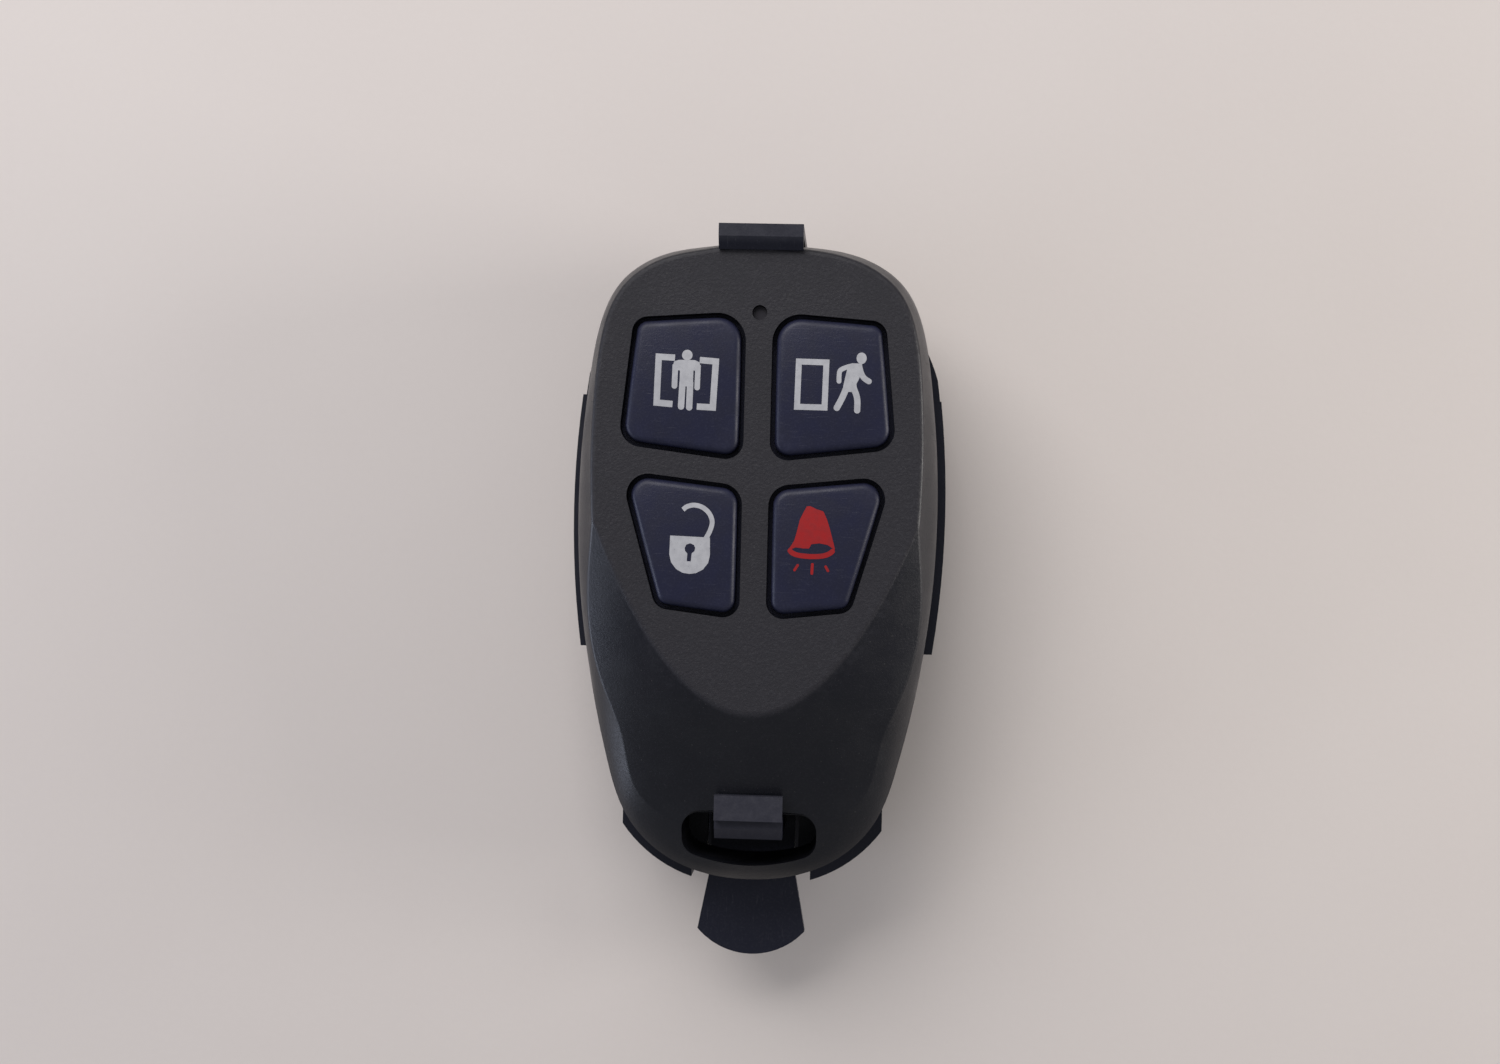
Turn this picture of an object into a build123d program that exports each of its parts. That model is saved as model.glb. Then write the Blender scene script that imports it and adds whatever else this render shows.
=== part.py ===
from build123d import *
import math
import os

# Four-key alarm fob seated in its belt-clip holster. Millimetres, face up.
# +Y runs to the hook end, +X to the right. Z = 0 is the outer face of the clip leaf.

# Fob outline, seen from above
fob_length = 57.0
fob_half_width = 16.1
wide_y = 4.7               # widest place, from the middle of the fob
top_radius = 38.0
side_radius = 87.0
bottom_radius = 18.4
top_corner = 8.3
bottom_corner = 11.2

# Stack through the holster and the fob, from the bottom up
leaf_thickness = 1.6
belt_gap = 4.4
plate_thickness = 1.6
rear_floor = 1.5
lower_contact_room = 1.0
cell_thickness = 3.2       # CR2032
cell_diameter = 20.0
upper_contact_room = 0.9
board_thickness = 0.8
switch_height = 1.5
plunger_rise = 0.6
press_gap = 0.05
mat_thickness = 0.75
cover_wall = 1.5
key_proud = 0.45
parting_height = 5.4       # parting plane above the bottom of the fob

# Fob shells
side_wall = 1.8
rear_edge_radius = 2.4
rim_land = 1.2             # upright band of the front cover above the parting plane
rim_width = 1.9
rim_levels = [             # below the face, share of the rim's width, width on the flanks
    (3.3, 0.12, 2.6),
    (2.1, 0.38, 4.5),
    (0.0, 1.0, 7.0),
]
flank_bearing = 160.0      # from the hook end, where the flanks of the chin are widest
flank_spread = 27.0
rim_step = 9               # bearing between the points that shape the rim
top_edge_inset = 0.55
chin_start = 13.0          # where the sloping chin starts, below the fob's middle
chin_angle = 12.0
chin_radius = 31.0
shoulder_wall = 0.75       # least wall over the rooms, under the chin's round shoulders
face_edge_radius = 0.5

# Lanyard eye at the lower end
eye_depth = 6.3            # from its upper edge to the end of the fob
eye_half_width = 6.0
eye_corner = 1.6
eye_bar = 1.5
eye_bevel = 0.5

# Keys: corners of each aperture on the +X side, from the fob's middle
upper_aperture = [(1.15, 22.05), (11.05, 21.35), (12.2, 10.2), (1.15, 8.87)]
upper_corners = [2.5, 1.4, 1.9, 1.6]
lower_aperture = [(1.15, 6.77), (12.05, 7.95), (8.55, -4.1), (1.15, -4.97)]
lower_corners = [1.9, 1.9, 1.4, 1.5]
key_gap = 0.4
key_flange = 0.45
flange_thickness = 0.6
key_edge_radius = 0.6
key_crown_radius = 60.0
key_travel = 0.4
mat_gap = 0.3
mat_margin = 1.2           # mat past the outermost apertures

# Electronics
board_clearance = 0.4
board_end = 13.0           # lower edge of the board, below the fob's middle
cell_y = 3.5
cradle_clearance = 0.2
cradle_wall = 1.0
cradle_height = 3.4
switch_side = 4.6
plunger_radius = 1.1
plunger_depth = 0.5
plunger_fit = 0.08
upper_switch = (6.6, 15.4)
lower_switch = (5.8, 1.6)
post_radius = 1.2
post_places = [(12.2, 13.0), (11.6, -9.0)]
contact_thickness = 0.25
contact_width = 5.0
contact_flat = 5.0         # half of the upper contact that lies on the cell
contact_rise = 3.0         # length of its slope up to the board
contact_pad = 3.5
led_y = 21.95
led_size = (1.6, 0.8, 0.7)
pipe_radius = 0.6
pipe_fit = 0.05
pipe_recess = 0.5
pipe_flange = 0.35
antenna_width = 0.9
antenna_height = 0.6
antenna_edge = 1.2
antenna_top = -4.0
controller_side = 5.0
controller_height = 0.9
chip_y = -7.6
can_size = (3.2, 2.5, 1.1)
passive_size = (1.6, 0.8, 0.6)
chip_spacing = 0.8
passive_pitch = (2.2, 1.5)

# Fasteners and seal
screw_places = [(7.5, 24.7), (7.5, -16.4)]
boss_radius = 1.9
shank_radius = 0.8
shank_clearance = 0.15
head_radius = 1.5
head_height = 0.9
head_clearance = 0.15
head_recess = 0.2
thread_reach = 3.2
seal_width = 0.7
seal_depth = 0.7
seal_inset = 0.55

# Holster
wall_clearance = 0.05
wall_thickness = 0.8
wall_height = 4.2
wall_top = 20.2
wall_step = 15.0
wall_step_height = 2.0
wall_fade_y = 12.2         # middle of the circle that thins their upper ends
wall_fade_radius = 16.8
wall_end = -8.0
foot_start = -20.0
foot_height = 3.0
foot_thickness = 1.25
foot_half_width = 11.9     # to the outer sides of the two feet
foot_gap = 5.45
waist_half_width = 10.6
plate_inset = 1.2
hook_half_width = 3.7
hook_reach = 1.05
hook_overlap = 1.1
hook_rise = 1.2
hook_crest = 1.1
hook_tip = 0.3
hook_root = 1.0
seat_gap = 0.1

# Release finger
finger_root = 2.4          # hinge, above the upper edge of the eye
finger_half_width = 3.9
finger_clearance = 0.3
hinge_fit = 0.06
slot_side = 0.35
catch_half_width = 3.0
catch_overlap = 1.8
catch_thickness = 1.0
catch_rise = 0.25
catch_step = 0.1           # nose past the front of the post
catch_step_drop = 0.9
catch_slope = 0.8          # drop and run of the sloped face below it
post_depth = 1.9
tongue_reach = 8.15
tongue_half_width = 5.0
tongue_shoulder = 5.9      # where the tongue is widest, past the fob's end

# Belt clip leaf
leaf_half_width = 7.5
leaf_pivot = 24.6
leaf_end = -27.5
leaf_corner = 3.0
leaf_lip = 1.4
lip_length = 2.4
bridge_wall = 1.3
knuckle_fit = 0.08

# Levels worked out from the stack
plate_bottom = leaf_thickness + belt_gap
fob_bottom = plate_bottom + plate_thickness
floor_top = fob_bottom + rear_floor
cell_bottom = floor_top + lower_contact_room
cell_top = cell_bottom + cell_thickness
board_bottom = cell_top + upper_contact_room
board_top = board_bottom + board_thickness
switch_top = board_top + switch_height
plunger_top = switch_top + plunger_rise
key_bottom = plunger_top + press_gap
mat_top = key_bottom + mat_thickness
face_z = mat_top + cover_wall
parting_z = fob_bottom + parting_height
head_seat = fob_bottom + head_recess + head_height
fob_end = fob_length / 2
eye_top = fob_end - eye_depth
finger_pivot = finger_root - eye_top
pivot_z = plate_bottom + plate_thickness / 2

base = (Align.CENTER, Align.CENTER, Align.MIN)

# The overall length runs from the hook to the end of the tongue
middle_y = (tongue_reach - hook_reach) / 2


def slab(face, low, high):
    # Extrusion of a flat face between two levels
    return extrude(Pos(0, 0, low) * face, high - low)


def block(x0, x1, y0, y1, z0, z1):
    size = (x1 - x0, y1 - y0, z1 - z0)
    return Pos((x0 + x1) / 2, (y0 + y1) / 2, (z0 + z1) / 2) * Box(*size)


def strip(y0, y1):
    # Wide flat band that keeps what lies between two Y values
    return Pos(0, (y0 + y1) / 2) * Rectangle(4 * fob_half_width, y1 - y0)


def mirrored(shape):
    return mirror(shape, about=Plane.YZ)


def outline(grow=0.0):
    # Round ends and bowed sides crossed, with the corners between them rounded.
    # The shape is offset outwards by grow.
    top = Pos(0, fob_end - top_radius) * Circle(top_radius + grow)
    end_radius = bottom_radius + grow
    bottom = Pos(0, bottom_radius - fob_end) * (
        Circle(end_radius) + Pos(0, fob_length / 2) * Rectangle(2 * end_radius, fob_length)
    )
    right = Pos(fob_half_width - side_radius, wide_y) * Circle(side_radius + grow)
    left = Pos(side_radius - fob_half_width, wide_y) * Circle(side_radius + grow)
    face = top & bottom & right & left
    face = fillet(face.vertices().sort_by(Axis.Y)[:2], bottom_corner + grow)
    return fillet(face.vertices().sort_by(Axis.Y)[-2:], top_corner + grow)


def rim_inset(bearing, share, flank):
    # Width of the rim seen from above, at a bearing from +Y in degrees: narrow at
    # the hook end, even along the sides, wide on the two flanks of the chin
    side = top_edge_inset
    side += (rim_width - top_edge_inset) * math.sin(math.radians(min(bearing, 90)))
    bulge = math.exp(-(((bearing - flank_bearing) / flank_spread) ** 2))
    return share * side + flank * bulge


def rim_level(face, share, flank):
    # Closed curve drawn in from the outline by the rim's width at a level
    right = []
    for bearing in range(0, 181, rim_step):
        angle = math.radians(bearing)
        ray = Line((0, 0), (fob_length * math.sin(angle), fob_length * math.cos(angle)))
        reach = (ray & face).length - rim_inset(bearing, share, flank)
        right.append((reach * math.sin(angle), reach * math.cos(angle)))
    left = [(-x, y) for x, y in reversed(right[1:-1])]
    return make_face(Spline(*right, *left, periodic=True))


def interior(inset, end_inset=0.0):
    # Inside of the fob, closed by a wall above the lanyard eye
    room_end = -eye_top + side_wall + end_inset
    return outline(-inset) & strip(room_end, fob_end)


def rounded_quad(corners, radii, grow=0.0):
    # Quadrilateral with its own radius at each corner, offset by grow
    face = make_face(Polyline(*corners, close=True))
    for corner, radius in zip(corners, radii):
        vertex = face.vertices().sort_by_distance(Vector(*corner))[0]
        face = fillet(vertex, radius)
    return offset(face, grow) if grow else face


def right_apertures(grow=0.0):
    upper = rounded_quad(upper_aperture, upper_corners, grow)
    lower = rounded_quad(lower_aperture, lower_corners, grow)
    return [upper, lower]


def apertures(grow=0.0):
    return [side for face in right_apertures(grow) for side in (mirrored(face), face)]


def both_sides(places):
    return [(side * x, y) for x, y in places for side in (-1, 1)]


def chin_body(drop=0.0):
    # Big tilted cylinder whose upper side is the chin
    radius = chin_radius - drop
    length = 4 * fob_length
    barrel = Rot(90, 0, 0) * Cylinder(radius, length)
    barrel = Rot(chin_angle, 0, 0) * Pos(0, 0, -chin_radius) * barrel
    return Pos(0, -chin_start, face_z) * barrel


def eye_outline(grow=0.0):
    # Straight upper edge, lower edge parallel to the end of the fob
    face = outline(grow - eye_bar) & strip(-fob_end, grow - eye_top)
    face &= Rectangle(2 * (eye_half_width + grow), 2 * fob_length)
    corners = face.vertices().sort_by(Axis.X)
    return fillet(corners[:2] + corners[-2:], eye_corner)


def crown():
    # Outside of the front cover: upright land, then a rim that widens on the flanks
    land_z = parting_z + rim_land
    face = outline()
    foot = rim_level(face, 0, 0)
    levels = [Pos(0, 0, land_z) * foot]
    levels += [
        Pos(0, 0, face_z - depth) * rim_level(face, share, flank)
        for depth, share, flank in rim_levels
    ]
    return slab(foot, parting_z, land_z) + loft(levels)


def shaped_crown():
    # Crown cut back by the chin, its creases softened
    body = crown() & chin_body()
    upper = [edge for edge in body.edges() if edge.center().Z > parting_z + 2 * rim_land]
    creases = [edge for edge in upper if edge.center().Y < fob_end - top_edge_inset]
    return fillet(creases, face_edge_radius)


def front_cover():
    cover = shaped_crown()
    key_low = lower_aperture[3][1] - cover_wall
    lower_strip = strip(-board_end - board_clearance, key_low)
    room_z = board_top + board_clearance
    rooms = [              # outline of each room and its ceiling
        (interior(side_wall) & strip(key_low, fob_end), mat_top),
        (interior(side_wall) & lower_strip, room_z),
        (interior(side_wall + antenna_edge) & lower_strip, room_z + antenna_height),
        (interior(3 * cover_wall) & strip(-board_end, key_low), room_z + can_size[2]),
        (interior(2 * cover_wall) & strip(-eye_top, -board_end), room_z),
    ]
    posts = [Pos(x, y) * Circle(boss_radius) for x, y in both_sides(screw_places)]
    for room, ceiling in rooms:
        cover -= slab(room - posts, parting_z, ceiling) & chin_body(shoulder_wall)
    for x, y in both_sides(screw_places):
        cover -= Pos(x, y, parting_z) * Cylinder(shank_radius, thread_reach, align=base)
    for hole in apertures():
        cover -= slab(hole, key_bottom, face_z + 1)
    cover -= eye_cut()
    pipe_hole = Cylinder(pipe_radius + pipe_fit, 2 * cover_wall, align=base)
    return cover - Pos(0, led_y, mat_top - cover_wall) * pipe_hole


def chin_level(y):
    # Height of the chin along the middle of the fob
    return face_z + (y + chin_start) * math.tan(math.radians(chin_angle))


def eye_cut():
    # Straight hole whose bevelled mouth follows the slope of the chin
    middle = -(eye_top + fob_end - eye_bar) / 2
    slope = Pos(0, middle, chin_level(middle)) * Rot(chin_angle, 0, 0)
    mouth = [
        slope * Pos(0, -middle, eye_bevel / 4) * eye_outline(eye_bevel),
        slope * Pos(0, -middle, -eye_bevel) * eye_outline(),
    ]
    return slab(eye_outline(), fob_bottom, face_z) + loft(mouth)


def rear_cover():
    shell = slab(outline(), fob_bottom, parting_z)
    shell = fillet(shell.faces().sort_by(Axis.Z)[0].edges(), rear_edge_radius)
    shell -= slab(interior(side_wall), floor_top, parting_z)
    for x, y in both_sides(screw_places):
        shell += Pos(x, y, floor_top) * Cylinder(boss_radius, parting_z - floor_top, align=base)
        shell -= Pos(x, y, fob_bottom) * Cylinder(
            head_radius + head_clearance, head_seat - fob_bottom, align=base
        )
        shell -= Pos(x, y, fob_bottom) * Cylinder(
            shank_radius + shank_clearance, parting_height, align=base
        )
    for x, y in both_sides(post_places):
        shell += Pos(x, y, floor_top) * Cylinder(post_radius, board_bottom - floor_top, align=base)
    shell += cell_cradle()
    shell -= seal_ring()
    return shell - slab(eye_outline(), fob_bottom, parting_z)


def cell_cradle():
    # Upright ring round the cell, notched for the lower contact
    inner = cell_diameter / 2 + cradle_clearance
    ring = Circle(inner + cradle_wall) - Circle(inner)
    cradle = Pos(0, cell_y, 0) * slab(ring, floor_top, floor_top + cradle_height)
    notch = contact_width / 2 + cradle_clearance
    return cradle - block(
        -2 * inner, 0, cell_y - notch, cell_y + notch, floor_top, floor_top + cradle_height
    )


def seal_ring():
    inner = interior(seal_inset + seal_width, seal_inset + seal_width - side_wall)
    outer = interior(seal_inset, seal_inset - side_wall)
    return slab(outer - inner, parting_z - seal_depth, parting_z)


def keypad_mat():
    sheet = interior(side_wall + board_clearance / 2)
    sheet &= strip(lower_aperture[3][1] - mat_margin, upper_aperture[0][1] + mat_margin)
    for hole in apertures(key_flange + mat_gap):
        sheet -= hole
    for x, y in both_sides(screw_places):
        sheet -= Pos(x, y) * Circle(boss_radius + board_clearance)
    sheet -= Pos(0, led_y) * Circle(pipe_radius + pipe_flange + board_clearance)
    return slab(sheet, key_bottom, mat_top) & chin_body(shoulder_wall + mat_gap)


def key(row):
    # Right-hand cap through its aperture, held by a flange under the cover
    cap = slab(right_apertures(-key_gap)[row], key_bottom, face_z + key_proud)
    x, y = [upper_switch, lower_switch][row]
    cap &= Pos(x, y, face_z + key_proud - key_crown_radius) * Sphere(key_crown_radius)
    cap = fillet(cap.faces().sort_by(Axis.Z)[-1].edges(), key_edge_radius)
    flange = right_apertures(key_flange)[row]
    return cap + slab(flange, key_bottom, key_bottom + flange_thickness)


def switch_body(place):
    body = Pos(*place, board_top) * Box(switch_side, switch_side, switch_height, align=base)
    depth = plunger_depth + key_travel + plunger_fit
    well = Cylinder(plunger_radius + plunger_fit, depth, align=base)
    return body - Pos(*place, switch_top - depth) * well


def switch_plunger(place):
    rod = Cylinder(plunger_radius, plunger_rise + plunger_depth, align=base)
    return Pos(*place, switch_top - plunger_depth) * rod


def circuit_board():
    board = interior(side_wall + board_clearance) & strip(-board_end, fob_end)
    for x, y in both_sides(screw_places):
        board -= Pos(x, y) * Circle(boss_radius + board_clearance)
    return slab(board, board_bottom, board_top)


def coin_cell():
    can = Pos(0, cell_y, cell_bottom) * Cylinder(cell_diameter / 2, cell_thickness, align=base)
    return fillet(can.edges(), 0.3)


def bent_strip(points, width):
    # Sheet-metal strip: its lower line is given, its thickness is added above it
    upper = [(x, z + contact_thickness) for x, z in reversed(points)]
    profile = make_face(Polyline(*points, *upper, close=True))
    return extrude(Plane.XZ * profile, width / 2, both=True)


def battery_contact_negative():
    arch = cell_bottom - contact_thickness
    riser = cell_diameter / 2 + cradle_clearance + cradle_wall + contact_thickness
    foot = 7.0
    ramp = 4.0
    crest = 2.0
    points = [
        (-riser, floor_top), (-ramp, floor_top), (-crest, arch),
        (crest, arch), (ramp, floor_top), (foot, floor_top),
    ]
    leaf = bent_strip(points, contact_width)
    leg = block(
        -riser - contact_thickness, -riser,
        -contact_width / 2, contact_width / 2,
        floor_top, board_bottom,
    )
    return Pos(0, cell_y, 0) * (leaf + leg)


def battery_contact_positive():
    joint_z = board_bottom - contact_thickness
    rise_end = contact_flat + contact_rise
    points = [
        (-contact_flat, cell_top),
        (contact_flat, cell_top),
        (rise_end, joint_z),
        (rise_end + contact_pad, joint_z),
    ]
    return Pos(0, cell_y, 0) * bent_strip(points, contact_width)


def status_led():
    return Pos(0, led_y, board_top) * Box(*led_size, align=base)


def led_light_pipe():
    foot = board_top + led_size[2] + press_gap
    rod = Pos(0, led_y, foot) * Cylinder(pipe_radius, face_z - pipe_recess - foot, align=base)
    collar_z = mat_top - mat_thickness
    collar = Cylinder(pipe_radius + pipe_flange, mat_thickness, align=base)
    return rod + Pos(0, led_y, collar_z) * collar


def loop_antenna():
    # Tinned strip that follows the lower edge of the board
    outer = interior(side_wall + board_clearance + antenna_edge)
    inner = interior(side_wall + board_clearance + antenna_edge + antenna_width)
    lowest = -board_end + antenna_edge
    band = outer & strip(lowest, antenna_top)
    band -= inner & strip(lowest + antenna_width, fob_end)
    return slab(band, board_top, board_top + antenna_height)


def microcontroller():
    chip = Box(controller_side, controller_side, controller_height, align=base)
    return Pos(0, chip_y, board_top) * chip


def oscillator_can():
    place = Pos(controller_side / 2 + can_size[0] / 2 + chip_spacing, chip_y, board_top)
    return place * Box(*can_size, align=base)


def chip_passives():
    # Two short rows beside the controller
    pitch_x, pitch_y = passive_pitch
    row_x = -controller_side / 2 - passive_size[0] / 2 - chip_spacing
    chips = [
        Pos(row_x - column * pitch_x, chip_y + row * pitch_y, board_top) * Box(*passive_size, align=base)
        for column in range(2)
        for row in (-1, 0, 1)
    ]
    return Part() + chips


def case_screws():
    screws = []
    for x, y in both_sides(screw_places):
        head = Pos(x, y, head_seat - head_height) * Cylinder(head_radius, head_height, align=base)
        shank = Cylinder(shank_radius, parting_z + thread_reach - head_seat, align=base)
        screws.append(head + Pos(x, y, head_seat) * shank)
    return Part() + screws


def holster_plate():
    fade = Pos(0, wall_fade_y) * Circle(wall_fade_radius) + strip(-fob_end, wall_fade_y)
    outside = outline(wall_clearance + wall_thickness) & fade
    foot_band = Rectangle(2 * foot_half_width, 2 * fob_length)
    foot_outside = outline(wall_clearance + foot_thickness) & foot_band
    foot_strip = strip(-2 * fob_end, foot_start)
    grip = outside & strip(wall_end, wall_top)
    foot = foot_outside & foot_strip
    waist = Rectangle(2 * waist_half_width, fob_length)
    floor = outline(-plate_inset) & (waist + strip(wall_end, fob_end))
    plate = slab(grip + foot + floor, plate_bottom, fob_bottom)
    seat = outline(wall_clearance)
    ring = outside - seat
    plate += slab(ring & strip(wall_end, wall_step), fob_bottom, fob_bottom + wall_height)
    plate += slab(ring & strip(wall_step, wall_top), fob_bottom, fob_bottom + wall_step_height)
    plate += slab(foot_outside & foot_strip - seat, fob_bottom, fob_bottom + foot_height)
    plate -= finger_slot()
    return plate + hook() + clip_bridge()


def finger_slot():
    # Room for the finger, and the wider gap between the two feet
    slot = block(
        -finger_half_width - slot_side, finger_half_width + slot_side,
        -2 * fob_end, finger_pivot, plate_bottom, face_z,
    )
    socket = Pos(0, finger_pivot, pivot_z) * Rot(0, 90, 0) * Cylinder(
        plate_thickness / 2 + hinge_fit, 2 * (finger_half_width + slot_side)
    )
    gap = block(-foot_gap, foot_gap, -2 * fob_end, -fob_end + eye_bar, plate_bottom, face_z)
    return slot + socket + gap


def hook():
    top = face_z + hook_rise
    outer = fob_end + hook_reach
    root = fob_end - plate_inset - hook_root
    points = [
        (root, plate_bottom),
        (outer, plate_bottom),
        (outer, top),
        (outer - hook_crest, top),
        (fob_end - hook_overlap, face_z + seat_gap + hook_tip),
        (fob_end - hook_overlap, face_z + seat_gap),
        (fob_end + seat_gap, face_z + seat_gap),
        (fob_end + seat_gap, fob_bottom),
        (root, fob_bottom),
    ]
    profile = make_face(Polyline(*points, close=True))
    return extrude(Plane.YZ * profile, hook_half_width, both=True)


def clip_bridge():
    # Wall from the plate down to the knuckle of the leaf
    knuckle = leaf_thickness / 2
    back = leaf_pivot + knuckle + knuckle_fit + bridge_wall
    wall = block(-leaf_half_width, leaf_half_width, leaf_pivot - knuckle, back, 0, plate_bottom)
    socket = Pos(0, leaf_pivot, knuckle) * Rot(0, 90, 0) * Cylinder(
        knuckle + knuckle_fit, 3 * leaf_half_width
    )
    mouth = block(
        -2 * leaf_half_width, 2 * leaf_half_width,
        leaf_pivot - leaf_thickness, leaf_pivot, 0, leaf_thickness + knuckle_fit,
    )
    return wall - socket - mouth


def release_finger():
    top = fob_bottom - finger_clearance
    arm = block(
        -finger_half_width, finger_half_width, -fob_end, finger_pivot, plate_bottom, top
    )
    barrel = Pos(0, finger_pivot, pivot_z) * Rot(0, 90, 0) * Cylinder(
        plate_thickness / 2, 2 * finger_half_width
    )
    barrel &= block(
        -finger_half_width, finger_half_width,
        -fob_end, finger_pivot + plate_thickness, plate_bottom, top,
    )
    return arm + barrel + tongue(top) + catch(top)


def tongue(top):
    # Fan-shaped thumb tongue past the end of the fob
    shoulder = -fob_end - tongue_shoulder
    right_edge = Line((finger_half_width, -fob_end), (tongue_half_width, shoulder))
    end_arc = ThreePointArc(
        (tongue_half_width, shoulder), (0, -fob_end - tongue_reach), (-tongue_half_width, shoulder)
    )
    left_edge = Line((-tongue_half_width, shoulder), (-finger_half_width, -fob_end))
    root = Line((-finger_half_width, -fob_end), (finger_half_width, -fob_end))
    fan = make_face([right_edge, end_arc, left_edge, root])
    return slab(fan, plate_bottom, top)


def catch(low):
    # Post through the lanyard eye with a nose over the eye's upper edge
    under = chin_level(-eye_top + catch_overlap) + catch_rise
    top = under + catch_thickness
    front = -eye_top - finger_clearance
    back = front - post_depth
    step_z = top - catch_step_drop
    points = [
        (front, low - plate_thickness / 2),
        (front, under),
        (-eye_top + catch_overlap, under),
        (-eye_top + catch_overlap, top),
        (front - catch_step, top),
        (front - catch_step, step_z),
        (front - catch_step - catch_slope, step_z),
        (back, step_z - catch_slope),
        (back, low - plate_thickness / 2),
    ]
    profile = make_face(Polyline(*points, close=True))
    return extrude(Plane.YZ * profile, catch_half_width, both=True)


def belt_clip_leaf():
    blade = Rectangle(2 * leaf_half_width, leaf_pivot - leaf_end)
    blade = fillet(blade.vertices().sort_by(Axis.Y)[:2], leaf_corner)
    leaf = slab(Pos(0, (leaf_pivot + leaf_end) / 2) * blade, 0, leaf_thickness)
    knuckle = Pos(0, leaf_pivot, leaf_thickness / 2) * Rot(0, 90, 0)
    leaf += knuckle * Cylinder(leaf_thickness / 2, 2 * leaf_half_width)
    lip_y = leaf_end + leaf_half_width / 2
    lip = Pos(0, lip_y, leaf_thickness) * Box(leaf_half_width, lip_length, leaf_lip, align=base)
    lip = fillet(lip.edges().filter_by(Axis.X).group_by(Axis.Z)[-1], leaf_lip / 2)
    return leaf + lip


def build():
    key_names = ["stay", "away", "disarm", "panic"]
    pieces = {
        "front_cover": front_cover(),
        "rear_cover": rear_cover(),
        "case_seal": seal_ring(),
        "keypad_mat": keypad_mat(),
        "led_light_pipe": led_light_pipe(),
        "status_led": status_led(),
        "circuit_board": circuit_board(),
        "microcontroller": microcontroller(),
        "oscillator_can": oscillator_can(),
        "chip_passives": chip_passives(),
        "loop_antenna": loop_antenna(),
        "coin_cell": coin_cell(),
        "battery_contact_negative": battery_contact_negative(),
        "battery_contact_positive": battery_contact_positive(),
        "case_screws": case_screws(),
        "holster_plate": holster_plate(),
        "release_finger": release_finger(),
        "belt_clip_leaf": belt_clip_leaf(),
    }
    keys = [key(0), key(1)]
    caps = [cap for right in keys for cap in (mirrored(right), right)]
    places = both_sides([upper_switch, lower_switch])
    for name, cap, place in zip(key_names, caps, places):
        pieces["key_" + name] = cap
        pieces["switch_body_" + name] = switch_body(place)
        pieces["switch_plunger_" + name] = switch_plunger(place)
    return pieces


os.makedirs("parts", exist_ok=True)
for name, piece in build().items():
    export_step(Pos(0, middle_y, 0) * piece, f"parts/{name}.step")

print("fob middle at y", middle_y, "face at z", round(face_z, 3))
print("release pivot", finger_pivot + middle_y, pivot_z)
print("leaf pivot", leaf_pivot + middle_y, leaf_thickness / 2)
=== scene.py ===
import bpy
import numpy as np
from mathutils import Matrix, Vector


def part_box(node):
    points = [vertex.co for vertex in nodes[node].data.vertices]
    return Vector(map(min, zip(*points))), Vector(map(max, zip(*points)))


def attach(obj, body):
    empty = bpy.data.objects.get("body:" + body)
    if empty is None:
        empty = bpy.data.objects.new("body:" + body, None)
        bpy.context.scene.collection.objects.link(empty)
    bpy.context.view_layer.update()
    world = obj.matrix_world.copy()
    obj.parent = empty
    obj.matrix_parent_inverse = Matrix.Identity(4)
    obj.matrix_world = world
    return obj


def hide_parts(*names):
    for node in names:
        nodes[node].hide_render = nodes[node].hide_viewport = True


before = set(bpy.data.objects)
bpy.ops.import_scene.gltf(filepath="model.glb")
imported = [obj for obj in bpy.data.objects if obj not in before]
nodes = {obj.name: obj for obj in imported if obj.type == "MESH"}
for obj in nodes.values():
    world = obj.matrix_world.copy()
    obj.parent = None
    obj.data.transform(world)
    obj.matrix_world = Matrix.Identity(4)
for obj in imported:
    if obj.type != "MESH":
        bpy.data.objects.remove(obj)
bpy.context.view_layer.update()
print("loaded", len(nodes), "solids of the fob and its holster")

mm = 0.001
coverLow, coverHigh = (np.array(corner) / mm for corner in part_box("front_cover"))
middleY = (coverLow[1] + coverHigh[1]) / 2     # middle of the fob
faceZ = coverHigh[2]                           # flat of the face
partingZ = coverLow[2]                         # where the cover stands on the rear shell
keyNames = ("stay", "away", "disarm", "panic")


# Tools for the materials

def tint(red, green, blue):
    # Screen colour, 0 to 255, as linear light
    screen = np.array([red, green, blue]) / 255
    light = np.where(screen < 0.04045, screen / 12.92, ((screen + 0.055) / 1.055) ** 2.4)
    return (*light.tolist(), 1.0)


class Flow:
    # A value running through a material; arithmetic on it adds Math nodes
    def __init__(self, shop, socket):
        self.shop = shop
        self.socket = socket

    def maths(self, operation, *values):
        return self.shop.node("ShaderNodeMath", dict(operation=operation), dict(enumerate(values)))

    def __add__(self, other):
        return self.maths("ADD", self, other)

    def __radd__(self, other):
        return self.maths("ADD", other, self)

    def __sub__(self, other):
        return self.maths("SUBTRACT", self, other)

    def __rsub__(self, other):
        return self.maths("SUBTRACT", other, self)

    def __mul__(self, other):
        return self.maths("MULTIPLY", self, other)

    def __rmul__(self, other):
        return self.maths("MULTIPLY", other, self)

    def rise(self, low, high):
        # 0 under low, 1 over high, smooth between them
        return self.shop.node(
            "ShaderNodeMapRange",
            dict(interpolation_type="SMOOTHSTEP"),
            {"Value": self, "From Min": low, "From Max": high},
        )


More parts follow.
